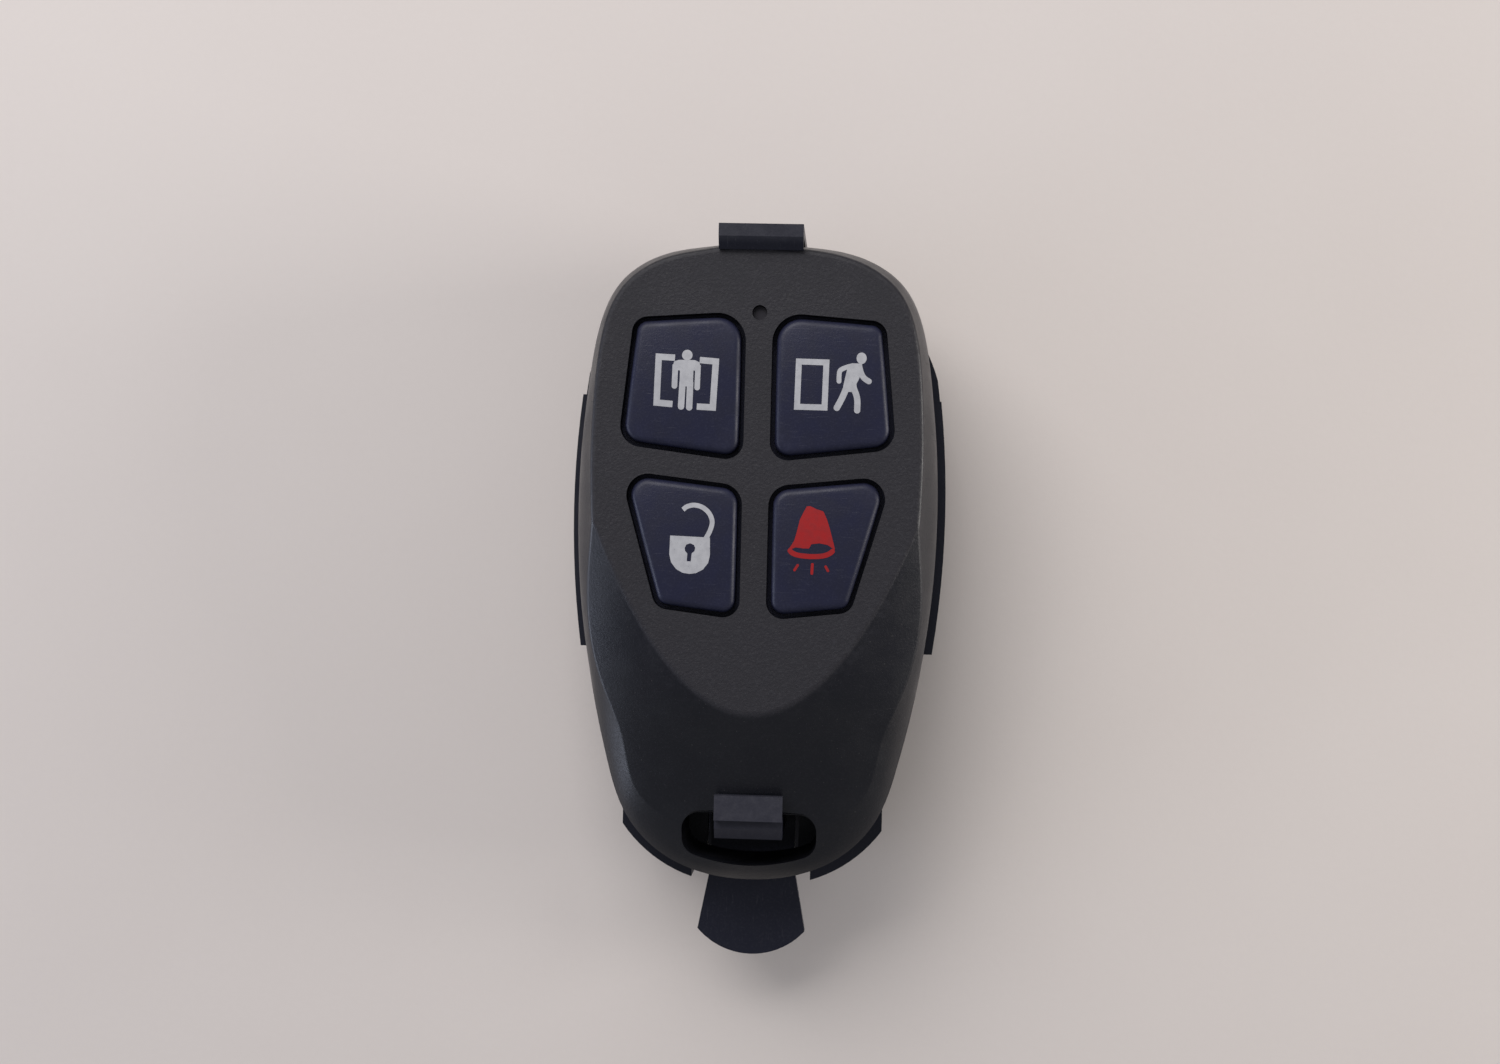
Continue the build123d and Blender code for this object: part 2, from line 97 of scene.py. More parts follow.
class Shop:
    # One material. Its places are Object coordinates in millimetres.
    def __init__(self, name):
        self.material = bpy.data.materials.new(name)
        self.material.use_nodes = True
        self.tree = self.material.node_tree
        self.tree.nodes.clear()
        metres = self.node("ShaderNodeTexCoord", out="Object")
        self.spot = self.vector("SCALE", {0: metres, "Scale": 1 / mm})
        self.y, self.z = (
            self.node("ShaderNodeSeparateXYZ", sockets={0: self.spot}, out=axis) for axis in "YZ"
        )

    def node(self, kind, settings=None, sockets=None, out=0):
        # Any node: its settings first, then the value or link of each socket
        made = self.tree.nodes.new(kind)
        for key, value in (settings or {}).items():
            setattr(made, key, value)
        for key, value in (sockets or {}).items():
            if isinstance(value, Flow):
                self.tree.links.new(value.socket, made.inputs[key])
            else:
                made.inputs[key].default_value = value
        return Flow(self, made.outputs[out])

    def vector(self, operation, sockets):
        return self.node("ShaderNodeVectorMath", dict(operation=operation), sockets)

    def noise(self, scale, detail=3, roughness=0.6, stretch=None, contrast=None):
        # Noise of about scale lumps a millimetre, 0 to 1; contrast is the band of it that is
        # spread over 0 to 1
        spot = self.spot if stretch is None else self.vector("MULTIPLY", {0: self.spot, 1: stretch})
        made = self.node(
            "ShaderNodeTexNoise",
            sockets={"Vector": spot, "Scale": scale, "Detail": detail, "Roughness": roughness},
        )
        return made if contrast is None else made.rise(*contrast)

    def layers(self, base, *coats):
        # Coats over a base colour, each a share from 0 to 1 and a colour
        for share, colour in coats:
            base = self.node(
                "ShaderNodeMix", dict(data_type="RGBA"), {0: share, 6: base, 7: colour}, out=2
            )
        return base

    def bump(self, height, depth, strength=1.0, below=None):
        # Relief of a height between 0 and 1 and a depth in millimetres, over the one below it
        sockets = {"Height": height, "Distance": depth * mm, "Strength": strength}
        if below is not None:
            sockets["Normal"] = below
        return self.node("ShaderNodeBump", sockets=sockets)

    def finish(self, colour, roughness, relief, gloss=0.5, metallic=0.0):
        # Closes the material and hands it back
        shader = self.node("ShaderNodeBsdfPrincipled", sockets={
            "Base Color": colour,
            "Roughness": roughness,
            "Normal": relief,
            "Specular IOR Level": gloss,
            "Metallic": metallic,
        })
        output = self.tree.nodes.new("ShaderNodeOutputMaterial")
        self.tree.links.new(shader.socket, output.inputs["Surface"])
        return self.material


def paint(material, *names):
    # Puts a material on CAD nodes
    for name in names:
        mesh = nodes[name].data
        if not mesh.materials:
            mesh.materials.append(material)
        for index in range(len(mesh.materials)):
            mesh.materials[index] = material


# Fob shells. In every look a scale or grain counts lumps a millimetre, share says how much
# a layer colours, rough how much it adds to the roughness, and depths are in millimetres.

coverLook = dict(
    face=tint(37, 36, 42),                           # textured plateau round the keys, made lighter: painted sheen
    chin=tint(17, 18, 24),                           # smooth slope below it, made darker: painted dark reflection
    rim=tint(18, 19, 27),
    rubbed=tint(60, 60, 66),
    dust=tint(100, 98, 96),
    faceBand=(faceZ - 0.16, faceZ - 0.02),           # heights over which rim turns to face
    crestBand=(faceZ - 0.75, faceZ - 0.3),           # and over which the rim gets rubbed
    chinBand=(6.5, 15.0),                            # mm from the fob's middle towards the eye
    lumps=dict(scale=4.2, roughness=0.62),
    lumpTops=(0.48, 0.68),
    fine=dict(scale=16, detail=2),
    mottle=dict(scale=0.22, detail=4, contrast=(0.3, 0.72)),
    hairs=dict(scale=1.0, detail=2, roughness=0.55, stretch=(0.5, 11.0, 0.5), contrast=(0.62, 0.76)),
    wear=dict(scale=1.4, detail=4, roughness=0.7, contrast=(0.42, 0.7)),
    specks=dict(scale=4.5, detail=1, roughness=0.5, contrast=(0.75, 0.79)),
    share=dict(chin=0.9, mottle=0.16, lumps=0.06, faceLumps=0.16, wear=0.25, dust=0.22),
    chinRough=0.3,
    faceRough=0.5,
    rough=dict(mottle=0.12, hairs=0.1, wear=-0.06),
    gloss=0.36,
    grainDepth=0.055,
    chinGrain=0.25,                                  # share of the grain that is left off the face
    fineDepth=0.008,
    fineStrength=0.7,
    hairHeight=0.4,
)


def coverPlastic(name, look):
    # Charcoal plastic: grained face with painted sheen, smoother rim and chin, painted dark reflection
    # on the chin, rubbed crest of the rim
    shop, share, rough = Shop(name), look["share"], look["rough"]
    face = shop.z.rise(*look["faceBand"])
    chin = (middleY - shop.y).rise(*look["chinBand"]) * (1 - face)
    crest = shop.z.rise(*look["crestBand"]) * (1 - face) * (1 - chin)
    lumps = shop.noise(**look["lumps"])
    mottle = shop.noise(**look["mottle"])
    hairs = shop.noise(**look["hairs"])
    rubbed = crest * shop.noise(**look["wear"])
    colour = shop.layers(
        look["rim"],
        # the face painted lighter as sheen, the chin painted darker as a dark reflection
        (face, look["face"]),
        (chin * share["chin"], look["chin"]),
        (mottle * share["mottle"], look["chin"]),
        (lumps.rise(*look["lumpTops"]) * (share["lumps"] + share["faceLumps"] * face), look["rubbed"]),
        (rubbed * share["wear"], look["rubbed"]),
        (shop.noise(**look["specks"]) * share["dust"], look["dust"]),
    )
    roughness = look["chinRough"] + (look["faceRough"] - look["chinRough"]) * face
    roughness = roughness + rough["mottle"] * mottle + rough["hairs"] * hairs + rough["wear"] * rubbed
    grain = shop.bump(lumps, look["grainDepth"], look["chinGrain"] + (1 - look["chinGrain"]) * face)
    fine = shop.noise(**look["fine"]) + hairs * look["hairHeight"]
    relief = shop.bump(fine, look["fineDepth"], look["fineStrength"], grain)
    return shop.finish(colour, roughness, relief, look["gloss"])


paint(coverPlastic("charcoalCover", coverLook), "front_cover")

rearLook = dict(
    base=tint(23, 24, 30),
    pale=tint(60, 60, 64),
    edge=(partingZ - 0.35, partingZ - 0.05),         # heights over which it is paler: painted highlight along the parting line, with wear
    grain=3.4,
    lumpTops=(0.48, 0.7),
    mottle=dict(scale=0.25, detail=4, contrast=(0.3, 0.72)),
    wear=dict(scale=1.1, detail=4, roughness=0.7, contrast=(0.35, 0.75)),
    evenHighlight=0.6,                                   # share of the edge's paling that is even everywhere: painted highlight; the rest is wear
    scuffs=dict(scale=0.8, stretch=(9.0, 0.7, 0.7), contrast=(0.63, 0.75)),
    share=dict(lumps=0.05, edge=0.26, scuffs=0.12),
    roughness=0.42,
    rough=dict(mottle=0.14, scuffs=0.08),
    gloss=0.36,
    depth=0.02,
    scuffHeight=0.5,
)


def shellPlastic(name, look):
    # Plain moulded plastic, paler towards an edge at a height: a painted highlight there, with wear
    shop, share, rough = Shop(name), look["share"], look["rough"]
    lumps = shop.noise(look["grain"])
    mottle = shop.noise(**look["mottle"])
    scuffs = shop.noise(**look["scuffs"])
    # paling towards the edge: an even painted highlight, with wear from the noise over it
    wear = look["evenHighlight"] + (1 - look["evenHighlight"]) * shop.noise(**look["wear"])
    colour = shop.layers(
        look["base"],
        (lumps.rise(*look["lumpTops"]) * share["lumps"], look["pale"]),
        (shop.z.rise(*look["edge"]) * wear * share["edge"], look["pale"]),
        (scuffs * share["scuffs"], look["pale"]),
    )
    roughness = look["roughness"] + rough["mottle"] * mottle + rough["scuffs"] * scuffs
    relief = shop.bump(lumps + look["scuffHeight"] * scuffs, look["depth"])
    return shop.finish(colour, roughness, relief, look["gloss"])


paint(shellPlastic("charcoalShell", rearLook), "rear_cover")
print("shells painted")


# Holster

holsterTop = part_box("holster_plate")[1].z / mm
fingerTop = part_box("release_finger")[1].z / mm
holsterLook = dict(
    rearLook,
    base=tint(18, 20, 33),
    pale=tint(86, 86, 95),
    edge=(holsterTop - 0.5, holsterTop),             # the hook's top: painted highlight, with wear
    grain=5.0,
    depth=0.014,
    roughness=0.36,
    gloss=0.32,
)
fingerLook = dict(
    holsterLook,
    base=tint(20, 22, 37),
    pale=tint(98, 97, 104),
    edge=(fingerTop - 2.0, fingerTop),               # the catch's slope and top: painted highlight, with wear
    roughness=0.4,
)
leafLook = dict(holsterLook, base=tint(18, 18, 23), roughness=0.46)   # far below the height of the hook top's painted highlight and wear

paint(shellPlastic("holsterNylon", holsterLook), "holster_plate")
paint(shellPlastic("fingerNylon", fingerLook), "release_finger")
paint(shellPlastic("leafNylon", leafLook), "belt_clip_leaf")
print("holster painted")


# Inside of the fob

def metal(name, look):
    # Rolled or plated metal: brushed streaks and stains
    shop, share, rough = Shop(name), look["share"], look["rough"]
    streaks = shop.noise(1.0, stretch=look["brush"])
    stains = shop.noise(**look["stains"])
    colour = shop.layers(
        look["base"],
        (streaks * share["streaks"], look["pale"]),
        (stains * share["stains"], look["stain"]),
    )
    roughness = look["roughness"] + rough["streaks"] * streaks + rough["stains"] * stains
    return shop.finish(colour, roughness, shop.bump(streaks, look["depth"]), metallic=1.0)


cellLook = dict(
    base=tint(190, 190, 186),
    pale=tint(214, 213, 208),
    stain=tint(142, 138, 130),
    brush=(14.0, 0.8, 0.8),                          # streaks a millimetre along X, Y and Z
    stains=dict(scale=0.5, detail=4, roughness=0.65, contrast=(0.5, 0.75)),
    share=dict(streaks=0.3, stains=0.35),
    roughness=0.26,
    rough=dict(streaks=0.18, stains=0.15),
    depth=0.004,
)
springLook = dict(cellLook, base=tint(186, 178, 160), stain=tint(130, 116, 92), brush=(0.8, 10.0, 0.8))
screwLook = dict(cellLook, base=tint(150, 150, 152), stain=tint(92, 86, 80), brush=(6.0, 6.0, 0.6))
wireLook = dict(cellLook, base=tint(196, 194, 190), roughness=0.34)
canLook = dict(wireLook, roughness=0.3)

paint(metal("cellSteel", cellLook), "coin_cell")
paint(metal("springBronze", springLook), "battery_contact_negative", "battery_contact_positive")
paint(metal("screwSteel", screwLook), "case_screws")
paint(metal("tinnedCopper", wireLook), "loop_antenna")
paint(metal("platedCan", canLook), "oscillator_can")


def lacquer(name, look):
    # Board, chips, rubber and mouldings: even base with a fine weave and darker patches
    shop, share = Shop(name), look["share"]
    weave = shop.noise(look["grain"])
    patches = shop.noise(**look["patches"])
    colour = shop.layers(
        look["base"],
        (weave * share["weave"], look["pale"]),
        (patches * share["patches"], look["dark"]),
    )
    roughness = look["roughness"] + look["patchRough"] * patches
    return shop.finish(colour, roughness, shop.bump(weave, look["depth"]), look["gloss"])


boardLook = dict(
    base=tint(24, 78, 48),
    pale=tint(52, 118, 74),
    dark=tint(12, 44, 28),
    grain=5.0,
    patches=dict(scale=0.4, contrast=(0.35, 0.7)),
    share=dict(weave=0.35, patches=0.25),
    roughness=0.34,
    patchRough=0.15,
    gloss=0.5,
    depth=0.006,
)
chipLook = dict(
    boardLook,
    base=tint(28, 28, 30),
    pale=tint(58, 58, 60),
    dark=tint(16, 16, 17),
    grain=9.0,
    roughness=0.5,
)
switchLook = dict(chipLook, base=tint(24, 25, 28), roughness=0.38)
plungerLook = dict(
    boardLook,
    base=tint(196, 190, 178),
    pale=tint(222, 218, 208),
    dark=tint(156, 148, 134),
    roughness=0.4,
)
matLook = dict(
    boardLook,
    base=tint(62, 63, 66),
    pale=tint(92, 92, 94),
    dark=tint(40, 40, 43),
    grain=6.0,
    roughness=0.68,
    depth=0.012,
)
sealLook = dict(matLook, base=tint(26, 26, 28), pale=tint(50, 50, 52), dark=tint(14, 14, 15))
ledLook = dict(
    boardLook,
    base=tint(214, 206, 188),
    pale=tint(238, 234, 224),
    dark=tint(176, 164, 140),
    grain=8.0,
    roughness=0.25,
    depth=0.003,
)
pipeLook = dict(
    boardLook,
    base=tint(46, 45, 52),
    pale=tint(66, 63, 68),
    dark=tint(30, 29, 33),
    grain=4.0,
    roughness=0.55,
    gloss=0.2,
    depth=0.004,
)

paint(lacquer("boardLacquer", boardLook), "circuit_board")
paint(lacquer("chipEpoxy", chipLook), "microcontroller", "chip_passives")
paint(lacquer("switchPlastic", switchLook), *(f"switch_body_{name}" for name in keyNames))
paint(lacquer("plungerPlastic", plungerLook), *(f"switch_plunger_{name}" for name in keyNames))
paint(lacquer("keypadRubber", matLook), "keypad_mat")
paint(lacquer("sealRubber", sealLook), "case_seal")
paint(lacquer("ledPackage", ledLook), "status_led")
paint(lacquer("smokedPipe", pipeLook), "led_light_pipe")
print("inner pieces painted")


# Tools for the new pieces

def addPiece(name, points, faces, material, crease=40):
    # Mesh from whole arrays, in millimetres, with smooth faces and creases sharp from an
    # angle in degrees
    mesh = bpy.data.meshes.new(name)
    mesh.from_pydata((points * mm).tolist(), [], [face for part in faces for face in part.tolist()])
    mesh.materials.append(material)
    mesh.shade_smooth()
    mesh.set_sharp_from_angle(angle=np.radians(crease))
    mesh.update()
    piece = bpy.data.objects.new(name, mesh)
    bpy.context.scene.collection.objects.link(piece)
    return piece


def gridFaces(rows, columns, start=0, around=True):
    # Quads between neighbouring rows of points; around closes each row into a ring
    row = np.arange(rows - 1)[:, None]
    column = np.arange(columns if around else columns - 1)[None, :]
    right = (column + 1) % columns
    corners = (row * columns + column, row * columns + right,
               (row + 1) * columns + right, (row + 1) * columns + column)
    return start + np.stack(np.broadcast_arrays(*corners), axis=-1).reshape(-1, 4)


def fanFaces(ring, pole, upwards):
    # Triangles from a ring of point numbers to one pole
    after = np.roll(ring, -1)
    middle = np.full_like(ring, pole)
    order = (ring, after, middle) if upwards else (after, ring, middle)
    return np.stack(order, axis=-1)


def ruled(first, second, across):
    # Straight rows of points from each point of one line to its partner on the other
    share = np.linspace(0, 1, across)[None, :, None]
    return first[:, None] * (1 - share) + second[:, None] * share


# Keys

keyLook = dict(
    # Corners of the two openings on the +X side, mm from the middle of the fob
    upper=[(1.15, 8.87), (12.2, 10.2), (11.05, 21.35), (1.15, 22.05)],
    upperRadii=[1.6, 1.9, 1.4, 2.5],
    upperCrest=(6.6, 15.4),                          # highest point, over the switch
    lower=[(1.15, -4.97), (8.55, -4.1), (12.05, 7.95), (1.15, 6.77)],
    lowerRadii=[1.5, 1.4, 1.9, 1.9],
    lowerCrest=(5.8, 1.6),
    gap=0.4,                                         # to the opening's wall
    flange=0.45,                                     # reaches this far under the cover
    flangeHeight=0.6,
    edge=0.6,                                        # radius of the round top edge
    proud=0.45,                                      # crest over the face
    crown=60.0,                                      # radius of the top
    wallShares=(0.35, 0.7),                          # rings part way up the wall
    edgeSteps=9,
    crownSteps=22,
    base=tint(31, 33, 55),
    pale=tint(62, 64, 84),
    deep=tint(21, 22, 38),
    topBand=(faceZ + 0.05, faceZ + 0.3),             # heights over which fingers polish it
    edgeBand=(faceZ - 0.25, faceZ + 0.05),           # and over which the edge gets paler
    lumps=dict(scale=5.5),
    lumpTops=(0.5, 0.7),
    mottle=dict(scale=0.5, detail=4, contrast=(0.3, 0.7)),
    hairs=dict(scale=0.9, stretch=(0.6, 8.0, 0.6), contrast=(0.6, 0.75)),
    wear=dict(scale=1.6, detail=4, roughness=0.7, contrast=(0.35, 0.7)),
    share=dict(mottle=0.4, lumps=0.16, wear=0.16, hairs=0.14),
    roughness=0.42,
    rough=dict(mottle=0.1, polish=-0.08, hairs=0.06),
    gloss=0.32,
    depth=0.014,
    hairHeight=0.4,
)


def quadLoop(corners, radii, inset, arcSteps=14, edgeSteps=16):
    # Rounded quadrilateral: at each corner an arc about a centre that lies the corner's
    # radius inside both its sides, and straight runs between the arcs. An inset only
    # shortens the arcs' radius, so loops of all insets have matching points.
    corners, radii = np.array(corners, float), np.array(radii, float)
    along = np.roll(corners, -1, axis=0) - corners
    along /= np.linalg.norm(along, axis=1)[:, None]
    inward = np.stack([-along[:, 1], along[:, 0]], axis=1)
    before = np.roll(inward, 1, axis=0)
    lean = (before + inward) / (1 + (before * inward).sum(1))[:, None]
    centres = corners + radii[:, None] * lean
    start = np.arctan2(-before[:, 1], -before[:, 0])
    turn = np.mod(np.arctan2(-inward[:, 1], -inward[:, 0]) - start, 2 * np.pi)
    angles = start[:, None] + turn[:, None] * np.linspace(0, 1, arcSteps)
    rays = np.stack([np.cos(angles), np.sin(angles)], axis=-1)
    arcs = centres[:, None] + (radii - inset)[:, None, None] * rays
    runs = ruled(arcs[:, -1], np.roll(arcs, -1, axis=0)[:, 0], edgeSteps + 2)[:, 1:-1]
    return np.concatenate([arcs, runs], axis=1).reshape(-1, 2)


def crownHeight(x, y, crest, look):
    # Big sphere whose highest point is at the crest: its centre's height plus the root of
    # the radius squared less the distance from the crest squared
    flat = (x - crest[0]) ** 2 + (y - crest[1]) ** 2
    return faceZ + look["proud"] - look["crown"] + np.sqrt(look["crown"] ** 2 - flat)


def keyCap(name, corners, radii, crest, bottom, material, look):
    # Rings stacked from the flange up the wall, over a round edge and in over the crown:
    # each ring is the rounded quadrilateral at an inset, the last ones shrink to the middle.
    rings, heights = [], []

    def stack(loop, z):
        rings.append(loop)
        heights.append(np.broadcast_to(z, len(loop)))

    def crown(loop):
        return crownHeight(loop[:, 0], loop[:, 1], crest, look)

    ledge = bottom + look["flangeHeight"]
    flange = quadLoop(corners, radii, -look["flange"])
    wall = quadLoop(corners, radii, look["gap"])
    stack(flange, bottom)
    stack(flange, ledge)
    stack(wall, ledge)
    rim = crown(wall) - look["edge"]
    for share in look["wallShares"]:
        stack(wall, ledge + share * (rim - ledge))
    for angle in np.linspace(0, np.pi / 2, look["edgeSteps"]):
        loop = quadLoop(corners, radii, look["gap"] + look["edge"] * (1 - np.cos(angle)))
        stack(loop, crown(loop) - look["edge"] * (1 - np.sin(angle)))
    inner = rings[-1]
    middle = inner.mean(0)
    for share in np.linspace(0, 1, look["crownSteps"])[1:-1]:
        loop = inner + (middle - inner) * share
        stack(loop, crown(loop))
    poles = np.stack([middle, middle])
    flat = np.vstack([*rings, poles])
    z = np.concatenate([*heights, [bottom], crown(poles[:1])])
    points = np.column_stack([flat[:, 0], flat[:, 1] + middleY, z])
    count = len(wall)
    outermost = np.arange(count)
    innermost = outermost + (len(rings) - 1) * count
    faces = [
        gridFaces(len(rings), count),
        fanFaces(outermost, len(points) - 2, False),
        fanFaces(innermost, len(points) - 1, True),
    ]
    return addPiece(name, points, faces, material)


def keyPlastic(name, look):
    # Navy satin plastic with a fine grain, finger polish on top and paler edges
    shop, share, rough = Shop(name), look["share"], look["rough"]
    lumps = shop.noise(**look["lumps"])
    mottle = shop.noise(**look["mottle"])
    hairs = shop.noise(**look["hairs"])
    top = shop.z.rise(*look["topBand"])
    rubbed = (1 - top) * shop.z.rise(*look["edgeBand"]) * shop.noise(**look["wear"])
    colour = shop.layers(
        look["base"],
        (mottle * share["mottle"], look["deep"]),
        (lumps.rise(*look["lumpTops"]) * share["lumps"], look["pale"]),
        (rubbed * share["wear"], look["pale"]),
        (hairs * share["hairs"], look["pale"]),
    )
    roughness = look["roughness"] + rough["mottle"] * mottle
    roughness = roughness + rough["polish"] * top + rough["hairs"] * hairs
    relief = shop.bump(lumps + look["hairHeight"] * hairs, look["depth"])
    return shop.finish(colour, roughness, relief, look["gloss"])


def mirrored(corners, radii, crest):
    # The same key on the -X side, its outline still anticlockwise
    return [(-x, y) for x, y in corners][::-1], radii[::-1], (-crest[0], crest[1])


keyPlaces = {
    "away": (keyLook["upper"], keyLook["upperRadii"], keyLook["upperCrest"]),
    "panic": (keyLook["lower"], keyLook["lowerRadii"], keyLook["lowerCrest"]),
}
keyPlaces["stay"] = mirrored(*keyPlaces["away"])
keyPlaces["disarm"] = mirrored(*keyPlaces["panic"])

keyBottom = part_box("key_stay")[0].z / mm
keyMaterial = keyPlastic("navyKey", keyLook)
for name in keyNames:
    corners, radii, crest = keyPlaces[name]
    cap = keyCap(f"{name}KeyCap", corners, radii, crest, keyBottom, keyMaterial, keyLook)
    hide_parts(f"key_{name}")
    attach(cap, f"{name}_key")
print("keys made")


# Printed signs on the keys

inkLook = dict(
    lift=0.014,                                      # mm over the crown
    step=0.0012,                                     # each sheet lies this much over the last
    sink=0.03,                                       # mm under the crown
    crease=60,
    limbSteps=(80, 70),                              # points of the curve, then evenly spaced ones
    shackleSteps=(120, 90),
    lipSteps=(100, 70),
    bellSteps=(70, 18),                              # points along and across
    white=tint(178, 179, 184),
    whiteWorn=tint(112, 113, 122),
    red=tint(154, 24, 27),
    redWorn=tint(96, 25, 32),
    film=dict(scale=1.6, contrast=(0.35, 0.7)),
    pinholes=dict(scale=7.0, detail=2, roughness=0.5, contrast=(0.7, 0.76)),
    share=dict(film=0.22, pinholes=0.7),
    roughness=0.48,
    filmRough=0.12,
    gloss=0.32,
    depth=0.004,
)


def inkMaterial(name, base, worn, look):
    # Pad-printed ink: slight unevenness and pinholes that let the key show
    shop, share = Shop(name), look["share"]
    film = shop.noise(**look["film"])
    pinholes = shop.noise(**look["pinholes"])
    colour = shop.layers(base, (film * share["film"], worn), (pinholes * share["pinholes"], worn))
    roughness = look["roughness"] + look["filmRough"] * film
    return shop.finish(colour, roughness, shop.bump(film + pinholes, look["depth"]), look["gloss"])


def inkSheet(grid, around, order, crest, look):
    # Thin closed sheet on the crown: the grid's top lies on the crown plus a lift, a
    # matching grid lies under it, and a band along the border joins them.
    rows, columns = grid.shape[:2]
    flat = grid.reshape(-1, 2)
    x, y = flat[:, 0], flat[:, 1]
    crown = crownHeight(x, y, crest, keyLook)
    top = np.column_stack([x, y + middleY, crown + look["lift"] + order * look["step"]])
    low = np.column_stack([x, y + middleY, crown - look["sink"]])
    points = np.vstack([top, low])
    upper = gridFaces(rows, columns, around=around)
    lower = gridFaces(rows, columns, len(flat), around)[:, ::-1]
    number = np.arange(rows * columns).reshape(rows, columns)
    if around:
        borders = [(number[0], np.roll(number[0], -1)), (np.roll(number[-1], -1), number[-1])]
    else:
        loop = np.concatenate([number[0], number[1:, -1], number[-1, -2::-1], number[-2:0:-1, 0]])
        borders = [(loop, np.roll(loop, -1))]
    bands = [np.stack([b, a, a + len(flat), b + len(flat)], axis=-1) for a, b in borders]
    parts = [upper, lower, *bands]
    a, b, c = points[upper[0][:3]]
    if np.cross(b - a, c - a)[2] < 0:                # its top looks down, so all is turned
        parts = [part[:, ::-1] for part in parts]
    return points, parts


def distanceAlong(points):
    # Length of a broken line from its start to each of its points
    steps = np.linalg.norm(np.diff(points, axis=0), axis=1)
    return np.concatenate([[0], np.cumsum(steps)])


def resample(points, count):
    # Evenly spaced points along a broken line
    points = np.array(points, float)
    run = distanceAlong(points)
    at = np.linspace(0, run[-1], count)
    return np.column_stack([np.interp(at, run, points[:, axis]) for axis in (0, 1)])


def curve(points, fine, count):
    # Evenly spaced points on the curve through some points: between each two of them a
    # cubic whose slope at a point is half the step between that point's neighbours
    points = np.array(points, float)
    ends = np.vstack([2 * points[0] - points[1], points, 2 * points[-1] - points[-2]])
    at = np.linspace(0, len(points) - 1, fine)
    index = np.minimum(at.astype(int), len(points) - 2)
    t = (at - index)[:, None]
    a, b, c, d = (ends[index + shift] for shift in range(4))
    smooth = 0.5 * (2 * b + (c - a) * t + (2 * a - 5 * b + 4 * c - d) * t**2
                    + (3 * b - a - 3 * c + d) * t**3)
    return resample(smooth, count)


def stroke(path, width, rounded="", across=5, tip=0.02):
    # Band along a line: its sides lie half the width off along the normal. Rounded draws
    # the far end or both ends in to a half circle, down to a tip's share of the width.
    step = np.gradient(path, axis=0)
    step /= np.linalg.norm(step, axis=1)[:, None]
    normal = np.column_stack([-step[:, 1], step[:, 0]])
    half = np.full(len(path), width / 2)
    if rounded:
        run = distanceAlong(path)
        fromEnd = run[-1] - run
        nearest = np.minimum(run, fromEnd) if rounded == "both" else fromEnd
        inside = np.clip(1 - nearest / half, 0, 1)
        half *= np.sqrt(np.clip(1 - inside**2, tip**2, 1))
    side = np.linspace(-1, 1, across)
    return path[:, None] + side[None, :, None] * (half[:, None] * normal)[:, None]


def frameStroke(points, width, along=9, across=5):
    # Closed or open band with square corners: its sides are the line moved half a width
    # to each side, mitred at the corners
    path = np.array(points, float)
    closed = np.allclose(path[0], path[-1])
    heading = np.diff(path, axis=0)
    heading /= np.linalg.norm(heading, axis=1)[:, None]
    normal = np.column_stack([-heading[:, 1], heading[:, 0]])
    first = normal[-1:] if closed else normal[:1]
    last = normal[:1] if closed else normal[-1:]
    before, after = np.vstack([first, normal]), np.vstack([normal, last])
    mitre = (before + after) / (1 + (before * after).sum(1))[:, None]
    left, right = (
        ruled(side[:-1], side[1:], along).reshape(-1, 2)
        for side in (path + mitre * width / 2, path - mitre * width / 2)
    )
    return ruled(left, right, across)


def patch(first, second, along=40, across=14):
    # Ruled patch between two lines, both cut into the same number of steps
    return ruled(resample(first, along), resample(second, along), across)


def starRadius(outline, centre, angles, tiny=1e-9):
    # How far a ray from the centre runs to the outline, at each angle
    points = np.array(outline, float) - centre
    edge = (np.roll(points, -1, axis=0) - points)[None]
    ray = np.column_stack([np.cos(angles), np.sin(angles)])[:, None]
    cross = ray[..., 0] * edge[..., 1] - ray[..., 1] * edge[..., 0]
    cross = np.where(np.abs(cross) < tiny, tiny, cross)
    reach = (points[None, :, 0] * edge[..., 1] - points[None, :, 1] * edge[..., 0]) / cross
    share = (points[None, :, 0] * ray[..., 1] - points[None, :, 1] * ray[..., 0]) / cross
    met = (reach > 0) & (share >= -tiny) & (share <= 1 + tiny)
    return np.where(met, reach, np.inf).min(1)


def star(outline, centre, hole=None, count=160, rings=12, dot=0.002):
    # Rays from a centre out to an outline, starting at a hole's outline or at a dot
    angles = np.linspace(0, 2 * np.pi, count, endpoint=False)
    outer = starRadius(outline, centre, angles)
    inner = np.full(count, dot) if hole is None else starRadius(hole, centre, angles)
    share = np.linspace(0, 1, rings)[:, None]
    reach = inner * (1 - share) + outer * share
    rays = np.stack([np.cos(angles), np.sin(angles)], axis=-1)
    return np.array(centre) + reach[..., None] * rays[None]


def oval(centre, width, height, count=60):
    # Closed ellipse: the centre plus half the width along the angle's cosine and half the
    # height along its sine
    angle = np.linspace(0, 2 * np.pi, count, endpoint=False)
    return np.column_stack([
        centre[0] + width / 2 * np.cos(angle),
        centre[1] + height / 2 * np.sin(angle),
    ])


